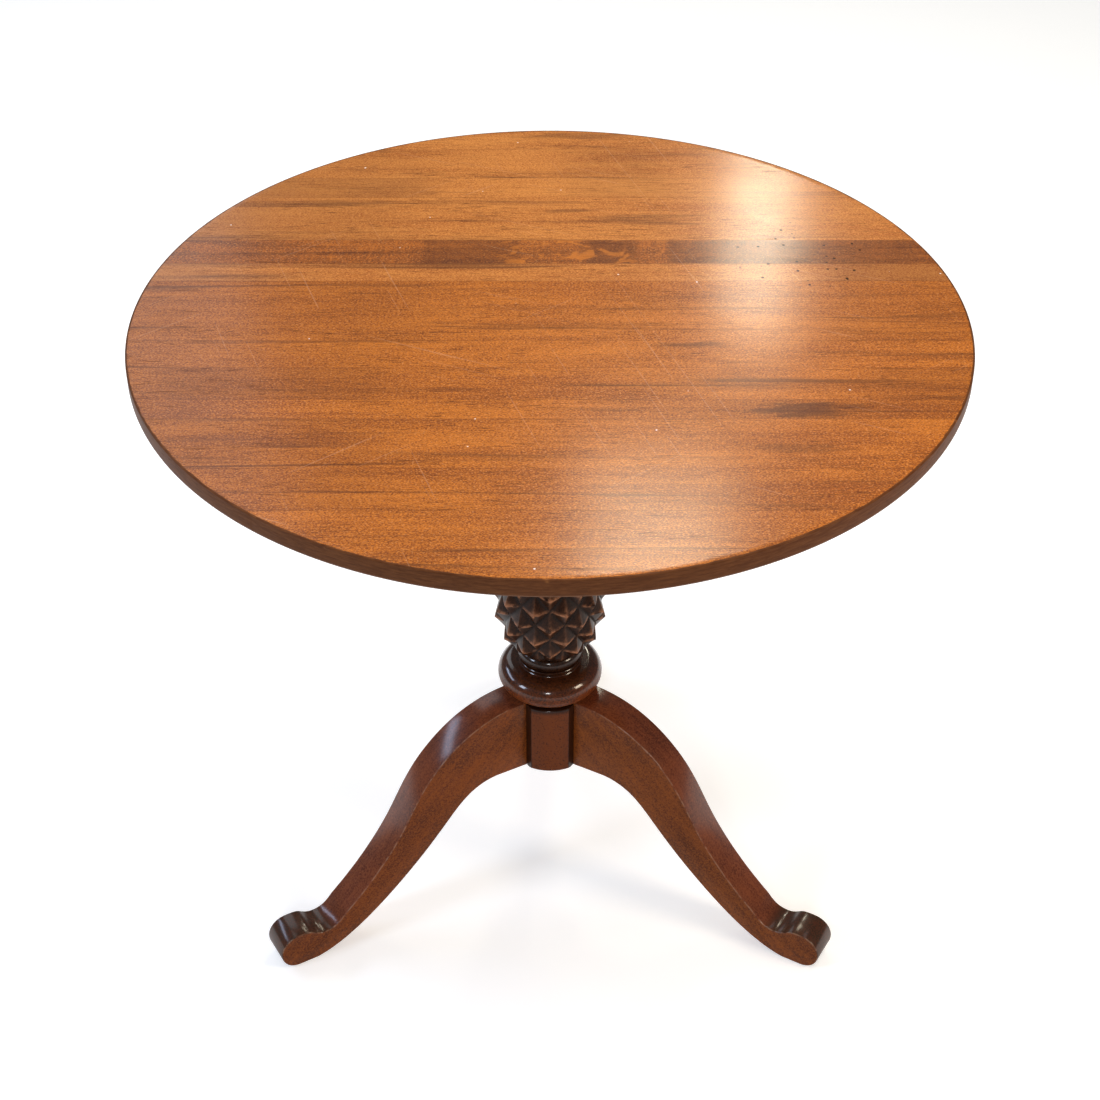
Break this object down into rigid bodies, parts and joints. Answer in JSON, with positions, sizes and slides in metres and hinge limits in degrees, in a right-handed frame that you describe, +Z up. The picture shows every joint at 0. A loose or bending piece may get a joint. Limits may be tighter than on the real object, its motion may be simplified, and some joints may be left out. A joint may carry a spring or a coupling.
{
  "type": "tilt top table",
  "caption": "Round tilt top table: edge-glued wooden top hinged on a block, on a turned column with a carved pineapple bulb and an S-curve tripod.",
  "frame": {"origin": "on the floor under the column's axis, which is also the centre of the closed top", "axes": "+Z is up; X runs along the top's grain and along the tilt hinge; -Y is the side between the two front legs, where the top's front edge goes down when it tilts"},
  "size_m": [0.8, 0.8, 0.712],
  "materials": {
    "column_wood": "glossy dark polish",
    "leg_wood": "satin dark polish",
    "bearer_wood": "thin stain, unpolished",
    "wedge_wood": "bare",
    "brass": "aged, satin",
    "steel": "dull",
    "iron": "dark, slightly rusted",
    "top_board_01": "satin lacquer",
    "top_board_02": "satin lacquer",
    "top_board_03": "satin lacquer",
    "top_board_04": "satin lacquer",
    "top_board_05": "satin lacquer",
    "top_board_06": "satin lacquer",
    "top_board_07": "satin lacquer",
    "top_board_08": "satin lacquer",
    "top_board_09": "satin lacquer",
    "top_board_10": "satin lacquer",
    "top_board_11": "satin lacquer",
    "top_board_12": "satin lacquer",
    "top_board_13": "satin lacquer"
  },
  "bodies": {
    "pedestal": {"column": "column_wood", "leg_front_left": "leg_wood", "leg_front_right": "leg_wood", "leg_rear": "leg_wood", "tripod_plate": "iron", "plate_screw_1": "steel", "plate_screw_2": "steel", "plate_screw_3": "steel", "plate_screw_4": "steel", "plate_screw_5": "steel", "plate_screw_6": "steel", "tilt_block": "bearer_wood", "tenon_wedge": "wedge_wood", "pivot_pin_left": "steel", "pivot_pin_right": "steel", "keeper_plate": "brass", "keeper_screw_1": "brass", "keeper_screw_2": "brass"},
    "tabletop": {"top_board_01": "top_board_01", "top_board_02": "top_board_02", "top_board_03": "top_board_03", "top_board_04": "top_board_04", "top_board_05": "top_board_05", "top_board_06": "top_board_06", "top_board_07": "top_board_07", "top_board_08": "top_board_08", "top_board_09": "top_board_09", "top_board_10": "top_board_10", "top_board_11": "top_board_11", "top_board_12": "top_board_12", "top_board_13": "top_board_13", "bearer_left": "bearer_wood", "bearer_right": "bearer_wood", "bearer_screw_left_1": "steel", "bearer_screw_left_2": "steel", "bearer_screw_left_3": "steel", "bearer_screw_left_4": "steel", "bearer_screw_right_1": "steel", "bearer_screw_right_2": "steel", "bearer_screw_right_3": "steel", "bearer_screw_right_4": "steel", "catch_plate": "brass", "catch_case": "brass", "catch_spring": "steel", "catch_screw_1": "brass", "catch_screw_2": "brass", "catch_screw_3": "brass", "catch_screw_4": "brass"},
    "catch_bolt": {"catch_bolt": "brass", "catch_knob": "brass"}
  },
  "joints": [
    {"name": "top_tilt", "type": "hinge", "parent": "pedestal", "child": "tabletop", "pos_m": [0, -0.058, 0.6755], "axis": [1, 0, 0], "range_deg": [0, 90]},
    {"name": "catch_slide", "type": "slide", "parent": "tabletop", "child": "catch_bolt", "axis": [0, -1, 0], "range_m": [0, 0.009], "stiffness_N_per_m": 300, "springref_m": 0.012}
  ]
}
